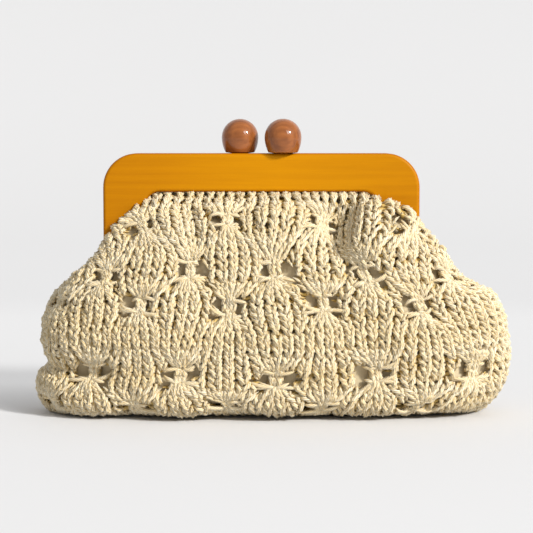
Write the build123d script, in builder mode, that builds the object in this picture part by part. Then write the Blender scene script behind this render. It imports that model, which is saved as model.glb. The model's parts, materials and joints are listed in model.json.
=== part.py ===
from build123d import *
import os

# Clutch purse: a knitted raffia bag on a two-part wooden frame that opens like a mouth.
# Millimetres, +Z up, origin on the ground under the middle of the bag. The front is -Y.
# Every piece of the front half exists again, mirrored, on the rear half, so most sub-parts
# are made in a loop over the two sides.

os.makedirs("parts", exist_ok=True)

# ---------------------------------------------------------------- driving dimensions

FRONT, REAR = -1, 1  # the side of the Y axis that a half lies on
HALVES = ((FRONT, "front"), (REAR, "rear"))
ENDS = ((-1, "left"), (1, "right"))

# Wooden frame
FRAME_WIDTH = 205.0
FRAME_TOP = 170.0
LEG_END = 79.5
OUTER_CORNER = 22.0
WINDOW_WIDTH = 151.4
WINDOW_TOP = 145.2
WINDOW_CORNER = 10.5
LEG_END_CORNER = 5.0
MATING_FACE = 0.25  # distance of each half's meeting face from the middle plane
FRAME_FACE = 9.5  # distance of each half's outer face from the middle plane
OUTER_ROUNDING = 2.2
MATING_ROUNDING = 1.2
GROOVE = (3.0, 6.9)  # from and to, measured from the middle plane
GROOVE_DEPTH = 7.0

# Ball knobs
BALL_RADIUS = 12.0
BALL_SEAT_DROP = 10.4  # from the ball's widest place down to its seat
BALL_SEAT_RADIUS = 5.0
BALL_FOOT_RADIUS = 9.5  # below its widest place the ball tapers to a broad foot
BALL_FOOT_LIFT = 0.5  # the foot's rim stands clear of the other half's top
BALL_FOOT_ROUNDING = 0.9
BALL_OFFSET_X = 14.0
BALL_OFFSET_Y = 5.5
STUD_RADIUS = 1.5
STUD_IN_WOOD = 10.0
STUD_IN_BALL = 12.0
STUD_PLAY = 0.05

# Hinges
HINGE_Z = 76.5
HINGE_X = 89.0
KNUCKLE_RADIUS = 2.0
HINGE_PIN_RADIUS = 1.0
PIN_PLAY = 0.05
LEAF_WIDTH = 18.0
LEAF_TOP = 91.0
LEAF_FOOT = 78.8
LEAF_THICKNESS = 0.9
LEAF_FACE = 0.3  # distance of the leaf's open face from the middle plane
MIDDLE_KNUCKLE = 6.0
KNUCKLE_GAP = 0.25
PIN_HEAD_RADIUS = 1.6
PIN_HEAD = 0.6

# Screws and magnets
HINGE_SCREW_X = 4.0  # each side of the hinge's middle
HINGE_SCREW_Z = 86.0
HINGE_SCREW = (0.7, 1.3, 6.0)  # shank radius, head radius, length
EDGE_SCREW = (0.8, 1.65, 8.0)
SCREW_PLAY = 0.06
EDGE_SCREW_SINK = 0.1  # the heads lie this far below the meeting face
HINGE_SCREW_SINK = 0.05
BAR_SCREWS_X = (-60.0, -30.0, 0.0, 30.0, 60.0)
LEG_SCREWS_Z = (100.0, 124.0)
MAGNET_RADIUS = 4.0
MAGNET_DEPTH = 2.0
MAGNET_X = 45.0
MAGNET_Z = 160.0

# Bag: height, half width and half depth of the knit's outside
TUB_STATIONS = (
    (0.0, 138.0, 35.0),
    (7.0, 148.0, 42.5),
    (24.0, 152.5, 45.7),
    (50.0, 152.5, 45.7),
    (75.0, 146.5, 42.0),
)
END_FLAT = 4.0  # half the straight stretch at each end of a section
# The panel of one half above the hinges
PANEL_STATIONS = (
    (75.3, 146.0, 42.0),
    (90.0, 129.0, 39.0),
    (105.0, 110.0, 34.5),
    (120.0, 99.0, 29.5),
    (132.0, 88.0, 25.0),
    (145.0, 75.0, 20.0),
)
PANEL_ENDS = (PANEL_STATIONS[0][0], PANEL_STATIONS[-1][0])
PANEL_BACK = 9.8  # the panel's back wall lies just off the frame's outer face
KNIT_THICKNESS = 3.0
LINING_THICKNESS = 0.6
LINING_GAP = 0.3
ROOF_START = 104.3  # the bag closes between the two panels beyond the frame's legs
TONGUE_DEPTH = 6.0
THROAT_GAP = 0.3
KNIT_TONGUE = (4.2, 6.6)
LINING_TONGUE = (3.4, 4.0)

# ---------------------------------------------------------------- shared shapes


def facing_plane(side, depth):
    """An XZ plane at this distance from the middle plane, on the given side."""
    return Plane.XZ.offset(-side * depth)


def window_outline(side, depth, grow):
    """The frame's window, open at the foot, grown all round by grow."""
    half_width = WINDOW_WIDTH / 2 + grow
    top = WINDOW_TOP + grow
    foot = LEG_END - 2 * LEG_END_CORNER
    with BuildSketch(facing_plane(side, depth)) as outline:
        with Locations((0, (top + foot) / 2)):
            Rectangle(2 * half_width, top - foot)
        fillet(outline.vertices().group_by(Axis.Y)[-1], WINDOW_CORNER + grow)
    return outline.sketch


def frame_outline(side):
    """The U of a half-frame on its meeting face."""
    with BuildSketch(facing_plane(side, MATING_FACE)) as outline:
        with Locations((0, (FRAME_TOP + LEG_END) / 2)):
            Rectangle(FRAME_WIDTH, FRAME_TOP - LEG_END)
        fillet(outline.vertices().group_by(Axis.Y)[-1], OUTER_CORNER)
        with Locations((0, (WINDOW_TOP + LEG_END) / 2)):
            Rectangle(WINDOW_WIDTH, WINDOW_TOP - LEG_END, mode=Mode.SUBTRACT)
        inner = [v for v in outline.vertices() if abs(v.Y - WINDOW_TOP) < 0.01]
        fillet(inner, WINDOW_CORNER)
        fillet(outline.vertices().group_by(Axis.Y)[0], LEG_END_CORNER)
    return outline.sketch


def screw_seats(side, places, depth):
    """Planes on a meeting face, one for each (x, z), that look out of the wood."""
    return [Plane(origin=(x, side * depth, z), z_dir=(0, -side, 0)) for x, z in places]


EDGE_SCREW_LINE = GROOVE_DEPTH / 2  # the edge screws stand on the groove's middle line
EDGE_SCREW_PLACES = [(x, WINDOW_TOP + EDGE_SCREW_LINE) for x in BAR_SCREWS_X]
EDGE_SCREW_PLACES += [
    (end * (WINDOW_WIDTH / 2 + EDGE_SCREW_LINE), z) for end, _ in ENDS for z in LEG_SCREWS_Z
]
HINGE_SCREW_PLACES = [
    (end * HINGE_X + step, HINGE_SCREW_Z)
    for end, _ in ENDS
    for step in (-HINGE_SCREW_X, HINGE_SCREW_X)
]
MAGNET_PLACES = [(-MAGNET_X, MAGNET_Z), (MAGNET_X, MAGNET_Z)]


def countersunk_screws(seats, shank_radius, head_radius, length):
    """Slotted countersunk screws, one at each seat, as separate solids."""
    head = head_radius - shank_radius
    with BuildPart() as screws:
        with Locations(*seats):
            Cylinder(shank_radius, length, align=(Align.CENTER, Align.CENTER, Align.MAX))
            Cone(shank_radius, head_radius, head, align=(Align.CENTER, Align.CENTER, Align.MAX))
        with Locations(*seats):
            Box(2 * head_radius, head_radius / 4, head / 2, mode=Mode.SUBTRACT)
    return screws.part


def tub_sections(inset):
    """Sections of the lower bag, drawn in by inset on the sides and at the bottom."""
    sections = []
    for height, half_width, half_depth in TUB_STATIONS:
        level = inset if height == 0 else height
        width, depth = 2 * (half_width - inset), 2 * (half_depth - inset)
        with BuildSketch(Plane.XY.offset(level)) as section:
            RectangleRounded(width, depth, depth / 2 - END_FLAT)
        sections.append(section.sketch)
    return sections


def panel_sections(side, inset):
    """Sections of one half's upper panel, cut off flat beside the frame."""
    away = Align.MIN if side == FRONT else Align.MAX
    sections = []
    for height, half_width, half_depth in PANEL_STATIONS:
        level = height - inset if height in PANEL_ENDS else height
        width, depth = 2 * (half_width - inset), 2 * (half_depth - inset)
        with BuildSketch(Plane.XY.offset(level)) as section:
            RectangleRounded(width, depth, depth / 2 - END_FLAT)
            with Locations((0, side * (PANEL_BACK + inset))):
                Rectangle(2 * width, 2 * depth, align=(Align.CENTER, away), mode=Mode.SUBTRACT)
        sections.append(section.sketch)
    return sections


def tub(outside, thickness):
    """The open tub below the hinges, with the strip that closes it beyond the legs."""
    rim = TUB_STATIONS[-1][0]
    roof_length = FRAME_WIDTH
    with BuildPart() as hollow:
        loft(tub_sections(outside + thickness))
        with BuildSketch(Plane.XY.offset(rim - outside)):
            for end, _ in ENDS:
                with Locations((end * (ROOF_START + roof_length / 2), 0)):
                    Rectangle(roof_length, 2 * (PANEL_BACK + KNIT_THICKNESS))
        extrude(amount=-thickness, mode=Mode.SUBTRACT)
    with BuildPart() as shell:
        loft(tub_sections(outside))
        add(hollow.part, mode=Mode.SUBTRACT)
        split(bisect_by=Plane.XY.offset(rim - outside), keep=Keep.BOTTOM)
    return shell.part


def panel(side, outside, thickness, tongue):
    """An upper panel: a hollow bulge, its throat through the window and its tongue in the groove."""
    outward = -side
    near, far = tongue
    inside = outside + thickness
    throat_end = PANEL_BACK + inside
    edge = THROAT_GAP + outside
    with BuildPart() as shell:
        loft(panel_sections(side, outside))
        loft(panel_sections(side, inside), mode=Mode.SUBTRACT)
        extrude(window_outline(side, near, -edge), amount=outward * (throat_end - near))
        extrude(window_outline(side, near, TONGUE_DEPTH), amount=outward * (far - near))
        extrude(
            window_outline(side, 0, -edge - thickness),
            amount=outward * throat_end,
            mode=Mode.SUBTRACT,
        )
        split(bisect_by=Plane.XY.offset(PANEL_STATIONS[0][0] - outside), keep=Keep.TOP)
        with Locations(*screw_seats(side, EDGE_SCREW_PLACES, 0)):
            Hole(EDGE_SCREW[0] + 2 * SCREW_PLAY, FRAME_FACE)
    return shell.part


# ---------------------------------------------------------------- wooden half-frames

for side, half in HALVES:
    outward = -side
    with BuildPart() as half_frame:
        extrude(frame_outline(side), amount=outward * (FRAME_FACE - MATING_FACE))
        outer_face = half_frame.faces().sort_by(Axis.Y)[0 if side == FRONT else -1]
        fillet(outer_face.edges(), OUTER_ROUNDING)
        mating_face = half_frame.faces().sort_by(Axis.Y)[-1 if side == FRONT else 0]
        fillet(mating_face.edges(), MATING_ROUNDING)
        # Groove for the knit's and the lining's edges
        extrude(
            window_outline(side, GROOVE[0], GROOVE_DEPTH),
            amount=outward * (GROOVE[1] - GROOVE[0]),
            mode=Mode.SUBTRACT,
        )
        # Recesses of the hinge leaves, open at the leg ends
        with BuildSketch(facing_plane(side, MATING_FACE)):
            recess_top = LEAF_TOP + 0.2
            with Locations(*[(end * HINGE_X, (recess_top + LEG_END) / 2) for end, _ in ENDS]):
                Rectangle(LEAF_WIDTH + 0.4, recess_top - LEG_END)
        extrude(amount=outward * (LEAF_THICKNESS + 0.1), mode=Mode.SUBTRACT)
        # Magnet pockets
        with BuildSketch(facing_plane(side, MATING_FACE)):
            with Locations(*MAGNET_PLACES):
                Circle(MAGNET_RADIUS + 0.05)
        extrude(amount=outward * (MAGNET_DEPTH + 0.15), mode=Mode.SUBTRACT)
        # Screw holes
        with Locations(*screw_seats(side, EDGE_SCREW_PLACES, MATING_FACE)):
            CounterSinkHole(
                EDGE_SCREW[0] + SCREW_PLAY,
                EDGE_SCREW[1] + SCREW_PLAY + EDGE_SCREW_SINK,
                EDGE_SCREW[2] + 0.3,
                counter_sink_angle=90,
            )
        with Locations(*screw_seats(side, HINGE_SCREW_PLACES, LEAF_FACE)):
            Hole(HINGE_SCREW[0] + SCREW_PLAY, HINGE_SCREW[2] + 0.3)
        # Blind hole for the knob's stud
        knob_x = BALL_OFFSET_X if side == FRONT else -BALL_OFFSET_X
        with Locations((knob_x, side * BALL_OFFSET_Y, FRAME_TOP)):
            Hole(STUD_RADIUS + STUD_PLAY, STUD_IN_WOOD + 0.2)
    half_frame.part.label = f"{half}_half_frame"
    export_step(half_frame.part, f"parts/{half}_half_frame.step")

# ---------------------------------------------------------------- ball knobs and their studs

for side, half in HALVES:
    knob_x = BALL_OFFSET_X if side == FRONT else -BALL_OFFSET_X
    knob_y = side * BALL_OFFSET_Y
    with BuildPart() as knob:
        with BuildSketch(Plane((knob_x, knob_y, FRAME_TOP), x_dir=(1, 0, 0), z_dir=(0, -1, 0))):
            with BuildLine():
                foot = (BALL_FOOT_RADIUS, BALL_FOOT_LIFT)
                widest = (BALL_RADIUS, BALL_SEAT_DROP)
                Polyline((0, BALL_SEAT_DROP + BALL_RADIUS), (0, 0), (BALL_SEAT_RADIUS, 0), foot)
                TangentArc(widest, foot, tangent=(0, -1))
                CenterArc((0, BALL_SEAT_DROP), BALL_RADIUS, 0, 90)
            make_face()
        revolve(axis=Axis((knob_x, knob_y, FRAME_TOP), (0, 0, 1)))
        rings = knob.edges().filter_by(GeomType.CIRCLE).sort_by(Axis.Z)
        rim = [ring for ring in rings if abs(ring.radius - BALL_FOOT_RADIUS) < 0.01]
        fillet(rim, BALL_FOOT_ROUNDING)
        with BuildSketch(Plane.XY.offset(FRAME_TOP)):
            with Locations((knob_x, knob_y)):
                Circle(STUD_RADIUS + STUD_PLAY)
        extrude(amount=STUD_IN_BALL + 0.2, mode=Mode.SUBTRACT)
    knob.part.label = f"{half}_ball_knob"
    export_step(knob.part, f"parts/{half}_ball_knob.step")

    with BuildPart() as stud:
        with BuildSketch(Plane.XY.offset(FRAME_TOP - STUD_IN_WOOD)):
            with Locations((knob_x, knob_y)):
                Circle(STUD_RADIUS)
        extrude(amount=STUD_IN_WOOD + STUD_IN_BALL)
        chamfer(stud.edges().filter_by(GeomType.CIRCLE), 0.4)
    stud.part.label = f"{half}_knob_stud"
    export_step(stud.part, f"parts/{half}_knob_stud.step")

# ---------------------------------------------------------------- hinges

knuckle_end = LEAF_WIDTH / 2
for end, end_name in ENDS:
    middle = end * HINGE_X
    for side, half in HALVES:
        # The front leaf has the middle knuckle, the rear leaf the two outer ones
        if side == FRONT:
            knuckles = [(middle, MIDDLE_KNUCKLE)]
        else:
            outer_length = knuckle_end - MIDDLE_KNUCKLE / 2 - KNUCKLE_GAP
            outer_middle = knuckle_end - outer_length / 2
            knuckles = [(middle + step * outer_middle, outer_length) for step in (-1, 1)]
        leaf_depth = LEAF_FACE + LEAF_THICKNESS / 2
        with BuildPart() as leaf:
            with Locations((middle, side * leaf_depth, (LEAF_TOP + LEAF_FOOT) / 2)):
                Box(LEAF_WIDTH, LEAF_THICKNESS, LEAF_TOP - LEAF_FOOT)
            for knuckle_x, length in knuckles:
                with Locations((knuckle_x, side * leaf_depth, (LEAF_FOOT + HINGE_Z) / 2)):
                    Box(length, LEAF_THICKNESS, LEAF_FOOT - HINGE_Z)
                with Locations((knuckle_x, 0, HINGE_Z)):
                    Cylinder(KNUCKLE_RADIUS, length, rotation=(0, 90, 0))
            with Locations((middle, 0, HINGE_Z)):
                Cylinder(
                    HINGE_PIN_RADIUS + PIN_PLAY,
                    2 * LEAF_WIDTH,
                    rotation=(0, 90, 0),
                    mode=Mode.SUBTRACT,
                )
            seats = [p for p in HINGE_SCREW_PLACES if p[0] * end > 0]
            with Locations(*screw_seats(side, seats, LEAF_FACE)):
                CounterSinkHole(
                    HINGE_SCREW[0] + SCREW_PLAY,
                    HINGE_SCREW[1] + SCREW_PLAY + HINGE_SCREW_SINK,
                    FRAME_FACE,
                    counter_sink_angle=90,
                )
        leaf.part.label = f"{end_name}_hinge_{half}_leaf"
        export_step(leaf.part, f"parts/{end_name}_hinge_{half}_leaf.step")

    with BuildPart() as pin:
        with Locations((middle, 0, HINGE_Z)):
            Cylinder(HINGE_PIN_RADIUS, LEAF_WIDTH + 0.4, rotation=(0, 90, 0))
        head_middle = knuckle_end + 0.2 + PIN_HEAD / 2
        with Locations((middle - head_middle, 0, HINGE_Z), (middle + head_middle, 0, HINGE_Z)):
            Cylinder(PIN_HEAD_RADIUS, PIN_HEAD, rotation=(0, 90, 0))
    pin.part.label = f"{end_name}_hinge_pin"
    export_step(pin.part, f"parts/{end_name}_hinge_pin.step")

# ---------------------------------------------------------------- screws and magnets

for side, half in HALVES:
    hinge_screws = countersunk_screws(
        screw_seats(side, HINGE_SCREW_PLACES, LEAF_FACE + HINGE_SCREW_SINK), *HINGE_SCREW
    )
    hinge_screws.label = f"{half}_hinge_screws"
    export_step(hinge_screws, f"parts/{half}_hinge_screws.step")

    edge_screws = countersunk_screws(
        screw_seats(side, EDGE_SCREW_PLACES, MATING_FACE + EDGE_SCREW_SINK), *EDGE_SCREW
    )
    edge_screws.label = f"{half}_edge_screws"
    export_step(edge_screws, f"parts/{half}_edge_screws.step")

    with BuildPart() as magnets:
        with BuildSketch(facing_plane(side, MATING_FACE + 0.1)):
            with Locations(*MAGNET_PLACES):
                Circle(MAGNET_RADIUS)
        extrude(amount=-side * MAGNET_DEPTH)
        chamfer(magnets.edges().filter_by(GeomType.CIRCLE), 0.25)
    magnets.part.label = f"{half}_magnets"
    export_step(magnets.part, f"parts/{half}_magnets.step")

# ---------------------------------------------------------------- bag

lining_outside = KNIT_THICKNESS + LINING_GAP

knit_body = tub(0, KNIT_THICKNESS)
knit_body.label = "knit_body_lower"
export_step(knit_body, "parts/knit_body_lower.step")

lining_body = tub(lining_outside, LINING_THICKNESS)
lining_body.label = "lining_lower"
export_step(lining_body, "parts/lining_lower.step")

for side, half in HALVES:
    knit_panel = panel(side, 0, KNIT_THICKNESS, KNIT_TONGUE)
    knit_panel.label = f"knit_{half}_upper"
    export_step(knit_panel, f"parts/knit_{half}_upper.step")

    lining_panel = panel(side, lining_outside, LINING_THICKNESS, LINING_TONGUE)
    lining_panel.label = f"lining_{half}_upper"
    export_step(lining_panel, f"parts/lining_{half}_upper.step")
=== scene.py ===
"""Looks of the clutch purse: a raffia bag knitted stitch by stitch, its lining, and the frame's finishes."""

import json
import math

import bpy
import numpy as np
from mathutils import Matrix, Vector


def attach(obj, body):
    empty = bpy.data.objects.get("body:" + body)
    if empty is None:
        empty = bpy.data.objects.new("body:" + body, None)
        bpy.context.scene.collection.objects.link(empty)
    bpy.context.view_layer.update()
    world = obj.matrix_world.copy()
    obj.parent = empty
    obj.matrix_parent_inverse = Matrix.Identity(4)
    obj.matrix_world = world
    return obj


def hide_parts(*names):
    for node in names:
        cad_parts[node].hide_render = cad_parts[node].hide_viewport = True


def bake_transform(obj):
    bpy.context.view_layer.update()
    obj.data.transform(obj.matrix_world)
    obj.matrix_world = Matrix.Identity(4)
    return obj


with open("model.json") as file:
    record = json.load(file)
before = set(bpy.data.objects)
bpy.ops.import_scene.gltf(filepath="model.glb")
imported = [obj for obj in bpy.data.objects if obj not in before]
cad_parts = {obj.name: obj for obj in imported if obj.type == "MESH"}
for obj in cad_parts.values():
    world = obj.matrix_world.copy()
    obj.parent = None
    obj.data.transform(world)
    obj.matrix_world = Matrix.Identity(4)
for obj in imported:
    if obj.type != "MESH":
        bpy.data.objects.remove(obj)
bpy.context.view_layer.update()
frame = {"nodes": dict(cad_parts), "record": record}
MM = 0.001
FRONT, REAR = -1, 1
TAU = 2 * math.pi

# ------------------------------------------------------------------ the shape of the bag

WALES = 24.0  # stitches from the middle of one face to the side seam
COURSES = 42.0  # rows from the frame's groove to the middle of the bottom
STEP = 0.25  # grid step of the shape, in stitches
# One face of the bag as rings, row by row from the frame down, in mm: the row, the ring's depth
# and height at the middle, and its half width, height and squareness towards each side seam
RINGS = (
    (0.0, 5.0, 149.0, (80.0, 77.0, 9.0), (80.0, 77.0, 9.0)),
    (1.2, 5.2, 143.4, (81.0, 76.5, 8.0), (80.0, 76.5, 7.0)),
    (2.2, 9.0, 140.0, (90.0, 76.5, 7.5), (83.0, 76.5, 7.0)),
    (3.0, 12.0, 137.5, (98.0, 77.0, 7.2), (98.5, 77.0, 5.6)),
    (4.0, 15.5, 134.5, (106.0, 78.0, 7.0), (101.0, 77.5, 4.7)),
    (7.0, 23.5, 126.5, (114.0, 80.0, 6.0), (106.5, 79.5, 4.1)),
    (10.0, 29.0, 112.5, (122.0, 81.0, 4.8), (112.0, 80.5, 4.0)),
    (13.0, 34.0, 98.5, (131.0, 80.0, 4.0), (121.0, 80.0, 3.8)),
    (17.0, 39.0, 80.0, (148.0, 76.0, 3.2), (133.0, 75.0, 3.2)),
    (22.0, 43.0, 57.0, (156.0, 62.0, 2.8), (140.5, 61.0, 2.8)),
    (27.0, 44.5, 34.0, (158.0, 41.0, 2.7), (138.5, 41.0, 2.7)),
    (31.0, 44.2, 17.5, (155.0, 22.0, 2.7), (145.0, 20.0, 2.7)),
    (33.2, 43.4, 10.0, (149.5, 11.5, 2.7), (143.5, 9.0, 2.7)),
    (34.8, 38.5, 7.4, (144.0, 6.5, 2.7), (140.0, 4.5, 2.7)),
    (37.0, 28.0, 5.4, (139.0, 4.0, 2.6), (135.5, 3.4, 2.6)),
    (39.0, 16.0, 3.8, (136.0, 3.4, 2.5), (132.0, 3.0, 2.5)),
    (42.0, 0.0, 3.0, (133.0, 3.0, 2.4), (129.0, 3.0, 2.4)),
)
SEAM_DEPTH = 0.8
SEAM_GATHER = (0.45, 2.0, 14.0)  # extra stitches towards the seams: share, and rows over which it fades
# The knit lies over the outer face of the frame's legs, this far from the middle plane, in mm
OVER_WOOD = 13.4
OVER_WOOD_EASE = 2.0
OVER_WOOD_ROWS = (1.0, 2.8)
OVER_WOOD_TOP = (138.0, 144.0)
OVER_WOOD_SIDE = (104.5, 111.0)
OVER_WOOD_FOOT = (70.0, 79.0)
# Clusters where stitches are drawn together: a column and the rows of its upper gathers
CLUSTER_PITCH = 8.8
CLUSTER_ROWS = ((1.2, (12.3, 26.9)), (5.6, (5.2, 16.9, 32.3)))
CLUSTER_TURNS = range(-4, 5)
CLUSTER_EDGE = 1.5  # no cluster nearer to the side seam than this
CLUSTER_DIPS = ((2.4, 1.5, 1.7), (2.2, 2.8, 3.2))  # depth in mm, and size across and down
NECK = 2.4  # rows between a cluster's upper and lower gather
# Distances from a cluster's middle, and where a stitch there is drawn to
DRAWN_FROM = (0.0, 1.5, 2.4, 3.8)
DRAWN_TO = (0.0, 0.6, 1.75, 3.8)
# Eyelets on each side of a cluster's neck: how far across and down, half width and half height
EYELETS = ((0.95, 0.45, 0.42, 0.36), (1.0, 1.45, 0.56, 0.56), (1.15, 2.65, 0.42, 0.3))
REAR_SHIFT = -2.4
# Folds of each face: place across, first and last row, depth in mm, half width in stitches
FOLDS = {
    FRONT: ((7.6, 3.2, 12.5, 11.0, 2.0), (-6.8, 3.0, 10.0, 4.0, 1.3), (-0.8, 3.0, 8.0, 2.0, 1.0)),
    REAR: ((-8.3, 3.4, 12.0, 7.0, 1.6), (5.5, 3.0, 9.0, 4.0, 1.4)),
}
OVERHANG = 0.55  # sideways lean of a fold's edge against its depth
# The crease that runs in from the left end: row, last stitch, depth in mm, half width in rows
CREASE = (28.3, -14.0, 5.5, 1.3)
FULLNESS = 1.2  # how far the knit stands out everywhere, in mm
WAVE = 1.5  # height of the knit's long waves, in mm
RELIEF_START = (0.6, 2.5)  # rows below the groove over which the relief begins
RELIEF_END = (35.0, 37.5)  # rows under the bottom over which it stops
LOWEST = 2.0  # height of the lowest yarn's middle, in mm


def smooth(value, low, high):
    """0 below low, 1 above high, with a smooth turn between them."""
    share = np.clip((value - low) / (high - low), 0.0, 1.0)
    return share * share * (3.0 - 2.0 * share)


def soften(values, reach):
    """values smoothed along the first axis, with its ends kept."""
    kernel = np.hanning(2 * reach + 3)[1:-1]
    kernel /= kernel.sum()
    before = 2 * values[0] - values[1 : reach + 1][::-1]
    after = 2 * values[-1] - values[-reach - 1 : -1][::-1]
    return np.convolve(np.concatenate([before, values, after]), kernel, mode="valid")


def ring_values(rows):
    """Depth, height, and the two sides' half width, height and squareness for each row."""
    table = np.array([[r[0], r[1], r[2], *r[3], *r[4]] for r in RINGS])
    columns = [np.interp(rows, table[:, 0], table[:, k]) for k in range(1, table.shape[1])]
    return [soften(column, 5) for column in columns]


def half_ring(depth, height, half_width, seam_height, squareness, gather):
    """Points from the middle of the face to the seam, spaced evenly along the ring."""
    turn = np.linspace(0.0, math.pi / 2, 181)
    reach = (np.cos(turn) ** squareness + np.sin(turn) ** squareness) ** (-1.0 / squareness)
    across, drop = reach * np.sin(turn), reach * np.cos(turn)
    points = np.stack(
        [
            half_width * across,
            SEAM_DEPTH + (depth - SEAM_DEPTH) * drop,
            seam_height + (height - seam_height) * drop,
        ],
        axis=1,
    )
    lengths = np.linalg.norm(np.diff(points, axis=0), axis=1)
    lengths *= 1.0 + gather * smooth(turn[1:], 0.7, 1.1)
    along = np.concatenate([[0.0], np.cumsum(lengths)])
    places = np.linspace(0.0, 1.0, int(WALES / STEP) + 1) * along[-1]
    return np.stack([np.interp(places, along, points[:, k]) for k in range(3)], axis=1)


def keep_over_wood(points, rows):
    """Brings the knit out in front of the frame where it lies on it."""
    x, y, z = np.abs(points[..., 0]), points[..., 1], points[..., 2]
    need = OVER_WOOD * smooth(rows[:, None], *OVER_WOOD_ROWS) * (1.0 - smooth(z, *OVER_WOOD_TOP))
    need = need * (1.0 - smooth(x, *OVER_WOOD_SIDE)) * smooth(z, *OVER_WOOD_FOOT)
    eased = 0.5 * (y + need + np.sqrt((y - need) ** 2 + OVER_WOOD_EASE**2))
    # Away from the frame this draws the bag's faces in by 1 mm and leaves the middle plane alone
    points[..., 1] = eased - 0.5 * OVER_WOOD_EASE * (need <= 0)
    return points


def face_grid():
    """One face's points and outward normals on the grid of rows and stitches, in mm."""
    rows = np.arange(0.0, COURSES + STEP / 2, STEP)
    values = ring_values(rows)
    grid = []
    for k, row in enumerate(rows):
        depth, height = values[0][k], values[1][k]
        gather = SEAM_GATHER[0] * (1.0 - smooth(row, *SEAM_GATHER[1:]))
        right = half_ring(depth, height, *[values[j][k] for j in (2, 3, 4)], gather)
        left = half_ring(depth, height, *[values[j][k] for j in (5, 6, 7)], gather)
        left[:, 0] *= -1
        grid.append(np.concatenate([left[::-1], right[1:]]))
    points = keep_over_wood(np.array(grid), rows)
    points[..., 1] *= FRONT
    down, along = np.gradient(points, axis=0), np.gradient(points, axis=1)
    normals = np.cross(along, down)
    normals /= np.linalg.norm(normals, axis=2, keepdims=True) + 1e-9
    if normals[len(rows) // 2, int(WALES / STEP), 1] > 0:
        normals *= -1
    return points, normals


GRID = face_grid()


def sample(field, stitch, row):
    """The field's value at each place, between the grid's points."""
    i = np.clip(row / STEP, 0.0, field.shape[0] - 1.001)
    j = np.clip((stitch + WALES) / STEP, 0.0, field.shape[1] - 1.001)
    i0, j0 = i.astype(int), j.astype(int)
    fi, fj = (i - i0)[..., None], (j - j0)[..., None]
    upper = field[i0, j0] * (1 - fj) + field[i0, j0 + 1] * fj
    lower = field[i0 + 1, j0] * (1 - fj) + field[i0 + 1, j0 + 1] * fj
    return upper * (1 - fi) + lower * fi


def clusters(side):
    """The place of each gathered cluster of a face, as stitch and row."""
    shift = 0.0 if side == FRONT else REAR_SHIFT
    for column, rows in CLUSTER_ROWS:
        for turn in CLUSTER_TURNS:
            stitch = column + shift + turn * CLUSTER_PITCH
            if abs(stitch) > WALES - CLUSTER_EDGE:
                continue
            for row in rows:
                yield stitch, row + 0.35 * math.sin(2.3 * turn + row)


def fold_reach(row, first, last):
    """How much of a fold there is at each row."""
    return smooth(row, first - 1.5, first + 1.5) * (1 - smooth(row, last - 3.0, last + 1.5))


def lean_over(side, stitch, row):
    """How far the right edge of each fold hangs over its valley, in mm."""
    shift = np.zeros(stitch.shape)
    for place, first, last, depth, width in FOLDS[side]:
        reach = fold_reach(row, first, last) * depth * OVERHANG
        shift -= reach * np.exp(-(((stitch - place - 1.5 * width) / (1.1 * width)) ** 2))
    return shift


def relief(side, stitch, row):
    """How far the knit stands out from the plain shape, in mm."""
    height = np.full(stitch.shape, FULLNESS)
    for column, top in clusters(side):
        ds, dc = stitch - column, row - top - NECK / 2
        for depth, across, down in CLUSTER_DIPS:
            height -= depth * np.exp(-((ds / across) ** 2) - (dc / down) ** 2)
    for place, first, last, depth, width in FOLDS[side]:
        reach = fold_reach(row, first, last)
        height -= depth * reach * np.exp(-(((stitch - place) / width) ** 2))
        beside = (stitch - place - 1.9 * width) / (1.3 * width)
        height += 0.75 * depth * reach * np.exp(-(beside**2))
    middle, last, depth, width = CREASE
    reach = 1 - smooth(stitch, last - 5.0, last + 2.0)
    height -= depth * reach * np.exp(-(((row - middle) / width) ** 2))
    height += WAVE * np.sin(0.42 * stitch + 0.25 * row) * np.sin(0.3 * row - 0.15 * stitch)
    height *= 1.0 - smooth(row, *RELIEF_END)
    return height * smooth(row, *RELIEF_START)


def draw_in(offset):
    """Where a stitch at this distance from a cluster's middle is drawn to."""
    reach = np.abs(offset)
    return np.sign(offset) * np.interp(reach, DRAWN_FROM, DRAWN_TO)


def gather(side, stitch, row):
    """The places of the stitches once the clusters have drawn them together."""
    moved = stitch.copy()
    for column, top in clusters(side):
        ds = stitch - column
        pull = smooth(row, top - 3.0, top) * (1 - smooth(row, top + NECK, top + NECK + 3.0))
        moved += np.where(np.abs(ds) < DRAWN_FROM[-1], pull * (draw_in(ds) - ds), 0.0)
    apart = smooth(row, 0.2, 1.2) * (1 - smooth(row, 2.5, 5.5))
    moved -= (0.035 + 0.07 * apart) * np.sin(TAU * stitch)
    moved += WANDER * np.sin(0.31 * row + 0.9 * np.sin(0.23 * stitch)) * np.sin(0.4 * stitch + 1.0)
    return np.clip(moved, -WALES, WALES)


def missing(side, place, row):
    """True where the lace has an eyelet instead of yarn."""
    gone = np.zeros(place.shape, bool)
    for column, top in clusters(side):
        for hand in (-1, 1):
            for across, down, wide, tall in EYELETS:
                vary = 1.0 + 0.28 * math.sin(7.1 * column + 3.3 * top + 2.0 * hand + 5.0 * down)
                ds, dc = place - column - hand * across * vary, row - top - down
                gone |= (ds / (wide * vary)) ** 2 + (dc / (tall * vary)) ** 2 < 1.0
    return gone


def on_bag(side, place, row, depth):
    """Points at a depth above the knit's middle surface, and the surface's normals, in mm."""
    points, normals = sample(GRID[0], place, row), sample(GRID[1], place, row)
    points = points + normals * (depth + relief(side, place, row))[..., None]
    points[..., 0] += lean_over(side, place, row)
    if side == REAR:
        points, normals = points * (1, -1, 1), normals * (1, -1, 1)
    points[..., 2] = np.maximum(points[..., 2], LOWEST)
    return points, normals


# ------------------------------------------------------------------ yarn

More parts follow.
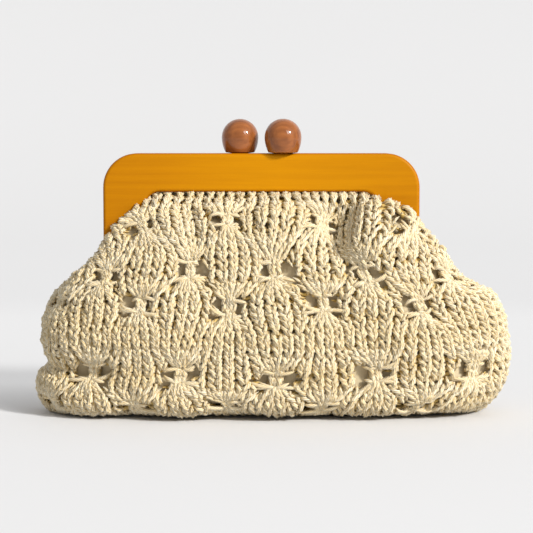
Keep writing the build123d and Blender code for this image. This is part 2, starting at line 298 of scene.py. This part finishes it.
YARN_RADIUS = 1.8
STRAND_RADIUS = 1.35
RING = 10  # points round the yarn: five plies, each a ridge and a groove
GROOVE = 0.64
SAMPLES = 14  # points along one stitch
LOOP_WIDTH, LOOP_HEIGHT, LOOP_DEPTH = 0.255, 0.98, 1.7
WANDER = 0.4  # how far the columns of stitches wander sideways
WALE_CROWN = 0.75  # how far the middle of a wale stands above its edges, in mm
PLY_PITCH = 13.0  # mm along the yarn for a whole turn of its plies
END_TAPER = 4  # rings over which a yarn's end narrows
SHORTEST_RUN = 6  # shorter pieces of yarn between eyelets are left out
RADIUS_SPREAD, STRAND_SPREAD = 0.03, 0.06  # unevenness of the thickness, as a share
JITTER = (0.06, 0.15, 0.5)  # unevenness of the loops across, down and in depth
STRAND_JITTER = (0.06, 0.09, 0.15)
STRAND_POINTS = 12
FAN_STRANDS = 6  # strands above a cluster's neck, and as many below it
NECK_LEANS = (-0.22, 0.0, 0.22)
TIED_ENDS = ((0.3, 2), (NECK, 4))  # rows below the gather, and the most loose ends on each hand
SEAM_START = 4  # first row of the side seam
SEAM_SWAY = 1.3  # how far the seam's two twisted yarns swing from side to side, in mm


def yarn_rings(path, normals, radius, phase):
    """Rings of points round a yarn that follows path, and each point's place on the yarn."""
    tangent = np.gradient(path, axis=0)
    tangent /= np.linalg.norm(tangent, axis=1, keepdims=True) + 1e-9
    aside = np.cross(tangent, normals)
    aside /= np.linalg.norm(aside, axis=1, keepdims=True) + 1e-9
    out = np.cross(aside, tangent)
    along = np.concatenate([[0.0], np.cumsum(np.linalg.norm(np.diff(path, axis=0), axis=1))])
    steps = np.arange(RING) * TAU / RING
    turn = steps[None, :] + (along / PLY_PITCH * TAU + phase)[:, None]
    ridge = np.where(np.arange(RING) % 2 == 0, 1.0, GROOVE)
    count = len(path)
    ends = np.minimum(np.arange(count), np.arange(count)[::-1]) / END_TAPER
    size = radius * np.sqrt(np.clip(ends + 0.08, 0.0, 1.0))
    spoke = np.cos(turn)[..., None] * aside[:, None] + np.sin(turn)[..., None] * out[:, None]
    points = path[:, None] + spoke * (ridge * size[:, None])[..., None]
    place = np.stack(
        [
            np.broadcast_to(np.cos(steps), turn.shape),
            np.broadcast_to(np.sin(steps), turn.shape),
            np.broadcast_to(along[:, None], turn.shape),
        ],
        axis=2,
    )
    # The grooves between the plies, marked for painted shade in the knit's colour
    groove_shade = np.broadcast_to(1.0 - ridge, turn.shape) / (1.0 - GROOVE)
    return points, place, groove_shade


class YarnMesh:
    """Collects yarns into one mesh."""

    def __init__(self):
        self.points, self.place, self.ply, self.faces, self.count = [], [], [], [], 0

    def add(self, path, normals, radius, shade, phase, depth):
        points, place, groove_shade = yarn_rings(path, normals, radius, phase)
        rings = len(path)
        first = self.count + np.arange(rings - 1)[:, None] * RING
        a = first + np.arange(RING)[None, :]
        b = first + (np.arange(RING) + 1)[None, :] % RING
        self.faces.append(np.stack([a, b, b + RING, a + RING], axis=2).reshape(-1, 4))
        self.points.append(points.reshape(-1, 3))
        self.place.append(place.reshape(-1, 3))
        # Painted shade: how deep the yarn lies in the knit, which darkens its colour to golden brown
        depth_shade = np.broadcast_to(smooth(-depth, -1.0, 2.0)[:, None], groove_shade.shape)
        tone = np.stack([groove_shade, np.full(groove_shade.shape, shade), depth_shade], axis=2)
        self.ply.append(tone.reshape(-1, 3))
        self.count += rings * RING

    def build(self, name, material):
        mesh = bpy.data.meshes.new(name)
        points = np.concatenate(self.points) * MM
        faces = np.concatenate(self.faces)
        mesh.vertices.add(len(points))
        mesh.vertices.foreach_set("co", points.ravel())
        mesh.loops.add(faces.size)
        mesh.loops.foreach_set("vertex_index", faces.ravel())
        mesh.polygons.add(len(faces))
        mesh.polygons.foreach_set("loop_start", np.arange(0, faces.size, 4))
        mesh.update(calc_edges=True)
        for label, values in (("yarn", self.place), ("ply", self.ply)):
            layer = mesh.attributes.new(label, "FLOAT_VECTOR", "POINT")
            layer.data.foreach_set("vector", np.concatenate(values).ravel())
        mesh.polygons.foreach_set("use_smooth", np.ones(len(faces), bool))
        mesh.materials.append(material)
        piece = bpy.data.objects.new(name, mesh)
        bpy.context.scene.collection.objects.link(piece)
        return piece


def knit_row(yarns, side, row, random):
    """One course of loops, cut where the lace has eyelets."""
    track = np.linspace(-WALES, WALES, int(2 * WALES * SAMPLES) + 1)
    halves = np.arange(-WALES, WALES + 0.25, 0.5)
    jitter = [np.interp(track, halves, random.normal(0, spread, len(halves))) for spread in JITTER]
    stitch = track + LOOP_WIDTH * np.sin(2 * TAU * track) + jitter[0]
    stitch = np.clip(stitch, -WALES, WALES)
    course = row - LOOP_HEIGHT * np.cos(TAU * track) + jitter[1]
    course += 0.3 * math.sin(0.8 * row) * np.sin(0.33 * track + row)
    course = np.clip(course, 0.0, COURSES)
    depth = -LOOP_DEPTH * np.cos(2 * TAU * track) + WALE_CROWN * np.cos(TAU * stitch) + jitter[2]
    place = gather(side, stitch, course)
    path, normals = on_bag(side, place, course, depth)
    gone = missing(side, place, course)
    edges = np.flatnonzero(np.diff(np.concatenate([[True], gone, [True]]).astype(int)))
    for first, last in zip(edges[::2], edges[1::2]):
        if last - first < SHORTEST_RUN:
            continue
        radius = YARN_RADIUS * (1.0 + random.normal(0, RADIUS_SPREAD))
        run = slice(first, last)
        yarns.add(path[run], normals[run], radius, random.random(), random.random() * TAU, depth[run])


def strand(yarns, side, column, top, bends, random):
    """A short strand of a cluster through three bends, each across, down and outward."""
    share = np.linspace(0.0, 1.0, STRAND_POINTS)[:, None]
    a, b, c = (np.array(bend) + random.normal(0, STRAND_JITTER) for bend in bends)
    curve = a * (1 - share) ** 2 + 2 * b * share * (1 - share) + c * share**2
    place = np.clip(column + curve[:, 0], -WALES, WALES)
    course = np.clip(top + curve[:, 1], 0.0, COURSES)
    path, normals = on_bag(side, place, course, curve[:, 2])
    radius = STRAND_RADIUS * (1.0 + random.normal(0, STRAND_SPREAD))
    yarns.add(path, normals, radius, random.random(), random.random() * TAU, curve[:, 2])


def cluster(yarns, side, column, top, random):
    """The drawn-out loops of one gathered cluster: a fan, a neck, a knot with short ends, and a fan."""
    tilt, skew, stretch = random.normal(0, (0.22, 0.35, 0.12))
    reach = 1.0 + stretch
    for number in range(FAN_STRANDS):
        lean = 2.0 * number / (FAN_STRANDS - 1) - 1.0
        bulge = 1.0 - 0.6 * abs(lean)
        high, low = -2.7 * reach + 0.6 * abs(lean), NECK + 2.7 * reach
        above = ((1.8 * lean + skew, high, -0.6), (1.25 * lean, -0.8, 4.0), (0.2 * lean, 0.35, 0.0))
        below = (
            (0.2 * lean, NECK - 0.1, 1.2),
            (0.75 * lean, NECK + 0.8, 3.4 * bulge + 1.0),
            (1.7 * lean + skew, low, -0.8),
        )
        strand(yarns, side, column, top, above, random)
        strand(yarns, side, column, top, below, random)
    for lean in NECK_LEANS:
        neck = ((lean, 0.0, 0.2), (2.6 * lean + tilt, NECK / 2, 2.4), (-0.6 * lean, NECK + 0.2, 0.8))
        strand(yarns, side, column, top, neck, random)
    for hand in (-1, 1):
        for level, most in TIED_ENDS:
            for number in range(random.integers(most // 2, most + 1)):
                length = random.uniform(0.7, 1.4 + 0.3 * most)
                drop = level + random.uniform(-1.0, 0.8) + hand * tilt * length
                middle = (0.6 * hand * length, level + 0.3 * hand * tilt, random.uniform(2.6, 4.6))
                tip = (hand * length, drop, -0.6)
                strand(yarns, side, column, top, ((0.0, level, 1.4), middle, tip), random)


def seam(yarns, hand, first, last, random):
    """A column of chained loops that joins the two faces along a side seam."""
    for number in range(max(first, SEAM_START), last):
        track = np.linspace(0.0, 1.0, 15)
        for side in (FRONT, REAR):
            place = hand * (WALES - 0.42 * np.sin(math.pi * track) - 0.02)
            course = np.clip(number + 0.1 + 1.35 * track, 0.0, COURSES)
            depth = 1.2 + 1.1 * np.sin(math.pi * track) + random.normal(0, 0.2)
            path, normals = on_bag(side, place, course, depth)
            yarns.add(path, normals, YARN_RADIUS, random.random(), random.random() * TAU, depth)
    course = np.arange(max(first, SEAM_START) - 0.3, min(last + 0.5, COURSES), 0.08)
    for turn in (0.0, math.pi):
        depth = 1.0 + 0.8 * np.cos(TAU * course + turn)
        path, normals = on_bag(FRONT, np.full(course.shape, hand * WALES), course, depth)
        path[:, 1] = SEAM_SWAY * np.sin(TAU * course + turn)
        yarns.add(path, normals, YARN_RADIUS, random.random(), random.random() * TAU, depth)


# ------------------------------------------------------------------ materials


class Look:
    """A node material with its Principled shader."""

    def __init__(self, name, **inputs):
        self.material = bpy.data.materials.new(name)
        self.material.use_nodes = True
        self.tree = self.material.node_tree
        self.shader = self.tree.nodes["Principled BSDF"]
        for key, value in inputs.items():
            self.shader.inputs[key.replace("_", " ")].default_value = value

    def node(self, kind, **settings):
        made = self.tree.nodes.new(kind)
        for key, value in settings.items():
            if hasattr(made, key):
                setattr(made, key, value)
            else:
                made.inputs[key.replace("_", " ")].default_value = value
        return made

    def link(self, source, target):
        self.tree.links.new(source, target)

    def attribute(self, name):
        made = self.node("ShaderNodeAttribute", attribute_name=name)
        return made.outputs["Vector"]

    def place(self, source, scale):
        made = self.node("ShaderNodeMapping")
        made.inputs["Scale"].default_value = scale
        self.link(source, made.inputs["Vector"])
        return made.outputs["Vector"]

    def noise(self, vector, scale, detail=3.0, roughness=0.5):
        made = self.node("ShaderNodeTexNoise", Scale=scale, Detail=detail, Roughness=roughness)
        self.link(vector, made.inputs["Vector"])
        return made.outputs["Fac"]

    def ramp(self, factor, *stops):
        made = self.node("ShaderNodeValToRGB")
        band = made.color_ramp
        while len(band.elements) < len(stops):
            band.elements.new(0.5)
        for element, (position, color) in zip(band.elements, stops):
            element.position, element.color = position, (*color, 1.0)
        self.link(factor, made.inputs["Fac"])
        return made.outputs["Color"]

    def math(self, operation, first, second):
        made = self.node("ShaderNodeMath", operation=operation)
        for slot, value in zip(made.inputs, (first, second)):
            if isinstance(value, (int, float)):
                slot.default_value = value
            else:
                self.link(value, slot)
        return made.outputs[0]

    def mix(self, factor, first, second, blend="MIX"):
        made = self.node("ShaderNodeMix", data_type="RGBA", blend_type=blend)
        color_sockets = [s for s in made.inputs if s.type == "RGBA"]
        sockets = (made.inputs[0], color_sockets[0], color_sockets[1])
        for slot, value in zip(sockets, (factor, first, second)):
            if isinstance(value, (int, float)):
                slot.default_value = value
            elif isinstance(value, tuple):
                slot.default_value = (*value, 1.0)
            else:
                self.link(value, slot)
        return [s for s in made.outputs if s.type == "RGBA"][0]

    def bump(self, height, strength, distance):
        made = self.node("ShaderNodeBump", Strength=strength, Distance=distance)
        self.link(height, made.inputs["Height"])
        self.link(made.outputs["Normal"], self.shader.inputs["Normal"])

    def to(self, socket, source):
        self.link(source, self.shader.inputs[socket])


def raffia():
    look = Look("raffia_knit", Roughness=0.5, Specular_IOR_Level=0.45)
    yarn = look.attribute("yarn")
    ply = look.node("ShaderNodeSeparateXYZ")
    look.link(look.attribute("ply"), ply.inputs[0])
    fibre = look.noise(look.place(yarn, (4.0, 4.0, 0.25)), 1.6, 4.0, 0.6)
    patch = look.noise(look.place(yarn, (0.3, 0.3, 0.12)), 1.0, 2.0)
    shade = look.math("MULTIPLY", ply.outputs[1], 0.3)
    tone = look.math("ADD", look.math("MULTIPLY", patch, 0.7), shade)
    straws = ((0.3, (0.86, 0.77, 0.57)), (0.55, (0.91, 0.85, 0.69)), (0.8, (0.94, 0.91, 0.79)))
    base = look.ramp(tone, *straws)
    streak = look.ramp(fibre, (0.35, (0.78, 0.66, 0.44)), (0.6, (1.0, 1.0, 1.0)))
    base = look.mix(0.5, base, streak, "MULTIPLY")
    # Painted shade: the grooves between the plies are coloured dark golden brown
    groove_shade = look.math("MULTIPLY", look.math("POWER", ply.outputs[0], 1.3), 0.8)
    base = look.mix(groove_shade, base, (0.54, 0.33, 0.045))
    # Painted shade: yarn lying deeper in the knit is coloured golden brown
    base = look.mix(look.math("MULTIPLY", ply.outputs[2], 0.85), base, (0.62, 0.40, 0.07))
    look.to("Base Color", base)
    look.bump(fibre, 0.45, 0.0004)
    return look.material


def lining_cotton():
    look = Look("cotton_lining", Roughness=0.85, Specular_IOR_Level=0.2)
    cloth = look.attribute("cloth")
    threads = {"wave_type": "BANDS", "Scale": 0.32, "Distortion": 0.6}
    warp = look.node("ShaderNodeTexWave", bands_direction="X", **threads)
    weft = look.node("ShaderNodeTexWave", bands_direction="Y", **threads)
    for wave in (warp, weft):
        look.link(cloth, wave.inputs["Vector"])
    weave = look.math("MULTIPLY", warp.outputs["Fac"], weft.outputs["Fac"])
    tint = look.noise(look.place(cloth, (0.05, 0.05, 0.05)), 1.0)
    base = look.ramp(tint, (0.35, (0.62, 0.51, 0.32)), (0.7, (0.70, 0.59, 0.39)))
    gaps = look.ramp(weave, (0.0, (0.6, 0.58, 0.55)), (0.8, (1, 1, 1)))
    base = look.mix(0.35, base, gaps, "MULTIPLY")
    look.to("Base Color", base)
    look.bump(weave, 0.4, 0.0002)
    return look.material


def wood(name, light, dark, edge):
    """Varnished wood with its grain along the frame, darker on the edges, and a painted highlight: lighter
    across the middle, darker towards the ends.
    """
    look = Look(
        name,
        Roughness=0.5,
        Specular_IOR_Level=0.06,
        Coat_Weight=0.07,
        Coat_Roughness=0.25,
        Coat_IOR=1.4,
    )
    where = look.node("ShaderNodeTexCoord")
    grain = look.noise(look.place(where.outputs["Object"], (9.0, 160.0, 330.0)), 1.0, 5.0, 0.62)
    figure = look.noise(look.place(where.outputs["Object"], (6.0, 12.0, 22.0)), 1.0, 2.0)
    pores = look.noise(look.place(where.outputs["Object"], (90.0, 900.0, 2400.0)), 1.0, 2.0)
    base = look.ramp(figure, (0.3, dark), (0.7, light))
    lines = look.ramp(grain, (0.35, (0.72, 0.62, 0.5)), (0.62, (1, 1, 1)))
    base = look.mix(0.35, base, lines, "MULTIPLY")
    facing = look.node("ShaderNodeSeparateXYZ")
    look.link(where.outputs["Normal"], facing.inputs[0])
    turned = look.math("ABSOLUTE", facing.outputs[1], 0.0)
    base = look.mix(look.ramp(turned, (0.35, (0.75,) * 3), (0.97, (0,) * 3)), base, edge)
    # Painted highlight: the frame is coloured lighter across its middle and darker towards its ends, for the
    # varnish's sheen
    across = look.node("ShaderNodeSeparateXYZ")
    look.link(where.outputs["Object"], across.inputs[0])
    length = look.math("ADD", look.math("MULTIPLY", across.outputs[0], 4.5), 0.5)
    ends = ((0.0, (0.80, 0.73, 0.9)), (0.55, (1.0, 1.0, 1.0)), (1.0, (0.86, 0.82, 0.9)))
    painted_highlight = look.ramp(length, *ends)
    look.to("Base Color", look.mix(1.0, base, painted_highlight, "MULTIPLY"))
    look.bump(look.math("ADD", pores, grain), 0.10, 0.0004)
    return look.material


def ball_lacquer():
    look = Look(
        "lacquered_ball",
        Roughness=0.4,
        Specular_IOR_Level=0.1,
        Coat_Weight=1.0,
        Coat_Roughness=0.05,
        Coat_IOR=1.42,
    )
    where = look.node("ShaderNodeTexCoord")
    grain = look.noise(look.place(where.outputs["Object"], (70.0, 500.0, 260.0)), 1.0, 4.0)
    base = look.ramp(grain, (0.3, (0.20, 0.060, 0.014)), (0.7, (0.35, 0.114, 0.028)))
    look.to("Base Color", base)
    look.bump(grain, 0.03, 0.0003)
    return look.material


def metal(name, color, roughness, scale):
    look = Look(name, Metallic=1.0)
    where = look.node("ShaderNodeTexCoord")
    scratches = look.noise(look.place(where.outputs["Object"], scale), 1.0, 4.0, 0.6)
    darker = tuple(channel * 0.78 for channel in color)
    look.to("Base Color", look.ramp(scratches, (0.3, darker), (0.7, color)))
    shine = look.math("ADD", look.math("MULTIPLY", scratches, 0.2), roughness)
    look.to("Roughness", shine)
    look.bump(scratches, 0.08, 0.0002)
    return look.material


def paper():
    """Studio paper with painted light: away from the purse it glows a little, which lifts the purse's
    shadow, and its albedo is lowered there to match.
    """
    look = Look("studio_floor", Roughness=0.9, Specular_IOR_Level=0.1, Emission_Strength=1.0)
    where = look.node("ShaderNodeTexCoord")
    mottle = look.noise(where.outputs["Object"], 2.0)
    base = look.ramp(mottle, (0.3, (0.725, 0.725, 0.735)), (0.7, (0.735, 0.735, 0.745)))
    near = look.node("ShaderNodeTexGradient", gradient_type="SPHERICAL")
    look.link(look.place(where.outputs["Object"], (2.6, 7.0, 1.0)), near.inputs["Vector"])
    # Painted light: lower albedo and a glow away from the purse, so lit paper stays even and the shadow is
    # lighter
    less = look.ramp(near.outputs["Fac"], (0.0, (0.52,) * 3), (0.6, (1.0,) * 3))
    base = look.mix(1.0, base, less, "MULTIPLY")
    painted_glow = look.ramp(near.outputs["Fac"], (0.0, (0.40, 0.40, 0.40)), (0.6, (0.0,) * 3))
    depth = look.node("ShaderNodeSeparateXYZ")
    look.link(where.outputs["Object"], depth.inputs[0])
    far = look.ramp(depth.outputs[1], (0.55, (1.0, 1.0, 1.0)), (1.0, (0.9, 0.9, 0.9)))
    look.to("Base Color", look.mix(1.0, base, far, "MULTIPLY"))
    look.to("Emission Color", look.mix(1.0, painted_glow, far, "MULTIPLY"))
    return look.material


HONEY, DARK_HONEY, WOOD_EDGE = (0.61, 0.255, 0.0), (0.54, 0.205, 0.0), (0.40, 0.115, 0.0)
SLOT_LOOKS = {
    "varnished_wood": wood("varnished_wood", HONEY, DARK_HONEY, WOOD_EDGE),
    "lacquered_ball": ball_lacquer(),
    "steel": metal("steel", (0.62, 0.62, 0.62), 0.22, (60.0, 60.0, 900.0)),
    "brass": metal("brass", (0.78, 0.56, 0.25), 0.18, (500.0, 60.0, 500.0)),
}
RAFFIA, COTTON = raffia(), lining_cotton()

for part in frame["record"]["subparts"]:
    finish = SLOT_LOOKS.get(part["material_slot"])
    if finish:
        data = frame["nodes"][part["node"]].data
        data.materials.clear()
        data.materials.append(finish)

# ------------------------------------------------------------------ the knit and the lining

BANDS = (("top", 0, 11), ("shoulder", 11, 20), ("belly", 20, 31), ("base", 31, 42))
knits = {FRONT: [], REAR: []}
for side, label in ((FRONT, "front"), (REAR, "rear")):
    for band, first, last in BANDS:
        yarns = YarnMesh()
        for number in range(first, last):
            knit_row(yarns, side, number + 0.5, np.random.default_rng(100 * number + side + 7))
        for column, top in clusters(side):
            if first <= top < last:
                seed = int(1000 * (column + 30) + 10 * top + side)
                cluster(yarns, side, column, top, np.random.default_rng(seed))
        if side == FRONT:
            for hand in (-1, 1):
                seam(yarns, hand, first, last, np.random.default_rng(first + 50 * hand + 90))
        piece = yarns.build(f"knit_{label}_{band}", RAFFIA)
        knits[side].append(piece)

LINING_INSET = 3.6  # from the knit's middle surface in to the lining, in mm
LINING_GAP, LINING_FLOOR = 0.4, 6.2  # nearest to the middle plane and to the ground, in mm
LINING_STEP = 0.5
CLOTH_MM = (6.3, 4.7)  # size of a stitch of the bag, as the lining's weave is laid out on it


def lining(side, label):
    """The woven lining of one face, from the groove to the middle of the bottom."""
    rows = np.arange(0.0, COURSES + 0.01, LINING_STEP)
    stitches = np.arange(-WALES, WALES + 0.01, LINING_STEP)
    row, stitch = np.meshgrid(rows, stitches, indexing="ij")
    points, normals = sample(GRID[0], stitch, row), sample(GRID[1], stitch, row)
    inset = LINING_INSET + np.maximum(0.0, -relief(side, stitch, row))
    points = points - normals * inset[..., None]
    points[..., 1] = np.minimum(points[..., 1], -LINING_GAP)
    points[..., 2] = np.maximum(points[..., 2], LINING_FLOOR)
    if side == REAR:
        points = points * (1, -1, 1)
    mesh = bpy.data.meshes.new(f"lining_{label}")
    across = len(stitches)
    corner = (np.arange(len(rows) - 1)[:, None] * across + np.arange(across - 1)[None, :]).ravel()
    faces = np.stack([corner, corner + 1, corner + across + 1, corner + across], axis=1)
    mesh.from_pydata((points.reshape(-1, 3) * MM).tolist(), [], faces.tolist())
    layer = mesh.attributes.new("cloth", "FLOAT_VECTOR", "POINT")
    cloth = np.stack([stitch * CLOTH_MM[0], row * CLOTH_MM[1], np.zeros(row.shape)], axis=2)
    layer.data.foreach_set("vector", cloth.ravel())
    mesh.polygons.foreach_set("use_smooth", np.ones(len(faces), bool))
    mesh.materials.append(COTTON)
    piece = bpy.data.objects.new(f"lining_{label}", mesh)
    bpy.context.scene.collection.objects.link(piece)
    return piece


linings = {FRONT: lining(FRONT, "front"), REAR: lining(REAR, "rear")}
for side, label in ((FRONT, "front"), (REAR, "rear")):
    for piece in knits[side][:-1] + [linings[side]]:
        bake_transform(piece)
    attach(knits[side][-1], "bag")
    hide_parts(f"knit_{label}_upper")
    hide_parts(f"lining_{label}_upper")
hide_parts("knit_body_lower")
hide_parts("lining_front_upper", "lining_lower")

# ------------------------------------------------------------------ floor, light and camera

FLOOR_FRONT, FLOOR_BACK, CURVE, WALL = -2.6, 0.75, 0.7, 2.6
HALF_FLOOR = 3.2


def backdrop():
    """A sheet of studio paper that curves up behind the purse."""
    turns = np.linspace(0, math.pi / 2, 25)
    profile = [(FLOOR_FRONT, 0.0)]
    profile += [(FLOOR_BACK + CURVE * math.sin(a), CURVE * (1 - math.cos(a))) for a in turns]
    profile += [(FLOOR_BACK + CURVE, WALL)]
    points = [(x, y, z) for y, z in profile for x in (-HALF_FLOOR, HALF_FLOOR)]
    faces = [(2 * k, 2 * k + 1, 2 * k + 3, 2 * k + 2) for k in range(len(profile) - 1)]
    mesh = bpy.data.meshes.new("studio_paper")
    mesh.from_pydata(points, [], faces)
    mesh.polygons.foreach_set("use_smooth", np.ones(len(faces), bool))
    mesh.materials.append(paper())
    piece = bpy.data.objects.new("studio_paper", mesh)
    bpy.context.scene.collection.objects.link(piece)
    return piece


backdrop()


def light(kind, name, place, aim, energy, **settings):
    data = bpy.data.lights.new(name, kind)
    data.energy = energy
    for key, value in settings.items():
        setattr(data, key, value)
    lamp = bpy.data.objects.new(name, data)
    lamp.location = place
    lamp.rotation_euler = (Vector(aim) - Vector(place)).to_track_quat("-Z", "Y").to_euler()
    bpy.context.scene.collection.objects.link(lamp)


AIM = (0.0, 0.0, 0.08)
KEY_FROM, WINDOW_FROM = (1.2, -1.0, 0.95), (0.75, -1.1, 0.9)
WARM = (1.0, 0.985, 0.96)
light("SUN", "key", KEY_FROM, AIM, 3.45, angle=math.radians(8), color=WARM)
light("AREA", "window", WINDOW_FROM, AIM, 5.0, shape="RECTANGLE", size=0.35, size_y=0.5)

world = bpy.data.worlds.new("studio")
world.use_nodes = True
sky = world.node_tree.nodes["Background"].inputs
sky["Color"].default_value = (1.0, 1.0, 1.0, 1.0)
sky["Strength"].default_value = 0.47
bpy.context.scene.world = world
bpy.context.scene.view_settings.view_transform = "Standard"
bpy.context.scene.view_settings.look = "None"

VIEW_WIDTH = 0.349
CAMERA_AIM = Vector((0.0033, 0.0, 0.096))
LENS, SENSOR = 110.0, 36.0
CAMERA_RISE = math.radians(4.5)
camera_data = bpy.data.cameras.new("camera")
camera_data.lens, camera_data.sensor_width = LENS, SENSOR
camera_data.clip_start = 0.05
camera = bpy.data.objects.new("camera", camera_data)
distance = VIEW_WIDTH * LENS / SENSOR
direction = Vector((0.0, -math.cos(CAMERA_RISE), math.sin(CAMERA_RISE)))
camera.location = CAMERA_AIM + distance * direction
camera.rotation_euler = (CAMERA_AIM - camera.location).to_track_quat("-Z", "Y").to_euler()
bpy.context.scene.collection.objects.link(camera)
bpy.context.scene.camera = camera
